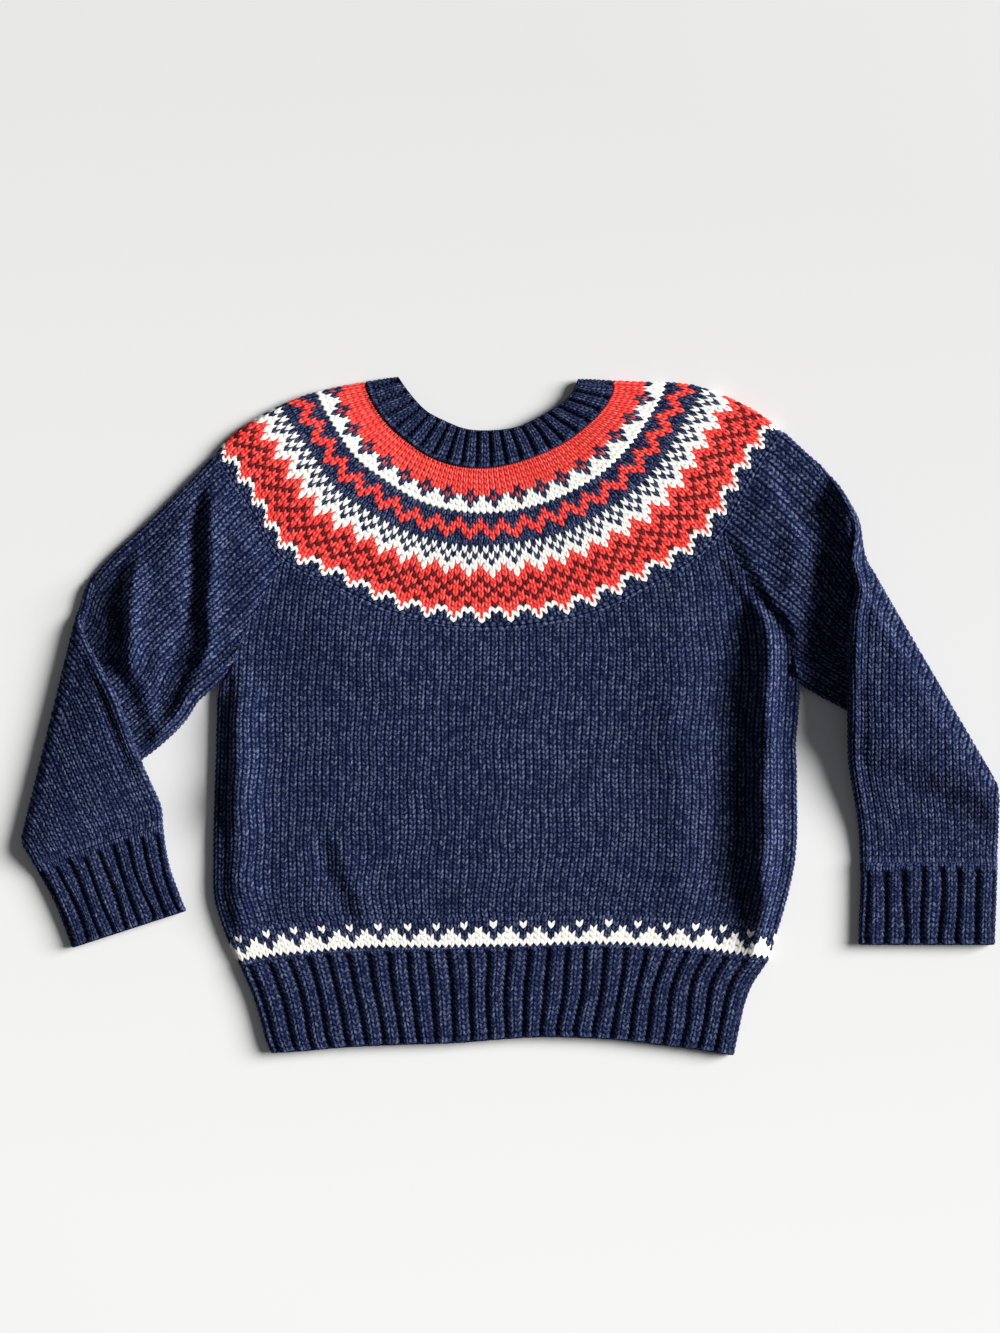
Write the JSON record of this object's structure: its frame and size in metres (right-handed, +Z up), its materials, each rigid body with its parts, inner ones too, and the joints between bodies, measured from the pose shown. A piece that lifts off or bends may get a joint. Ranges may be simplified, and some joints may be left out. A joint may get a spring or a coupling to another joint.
{
  "type": "fair isle jumper",
  "caption": "Toddler's knitted jumper laid flat: ribbed neckband, round colourwork yoke, plain body with a patterned edge over a ribbed hem, and long folded sleeves with ribbed cuffs.",
  "frame": {"origin": "on the plane the garment rests on, under the middle of its bounding box", "axes": "+X to the right as the front is seen from above, across both sleeves; +Y from the hem to the neck; +Z up, square to the cloth, from the back to the front"},
  "size_m": [0.5858, 0.407, 0.0255],
  "materials": {
    "navy_wool": "matt heathered wool, stocking stitch and rib",
    "fair_isle_wool": "matt wool colourwork in red, navy and off-white"
  },
  "bodies": {
    "root": {"neckband": "navy_wool", "yoke": "fair_isle_wool", "body_front": "navy_wool", "body_back": "navy_wool", "hem_rib_front": "navy_wool", "hem_rib_back": "navy_wool", "sleeve_left": "navy_wool", "sleeve_right": "navy_wool", "cuff_left": "navy_wool", "cuff_right": "navy_wool"}
  },
  "joints": []
}
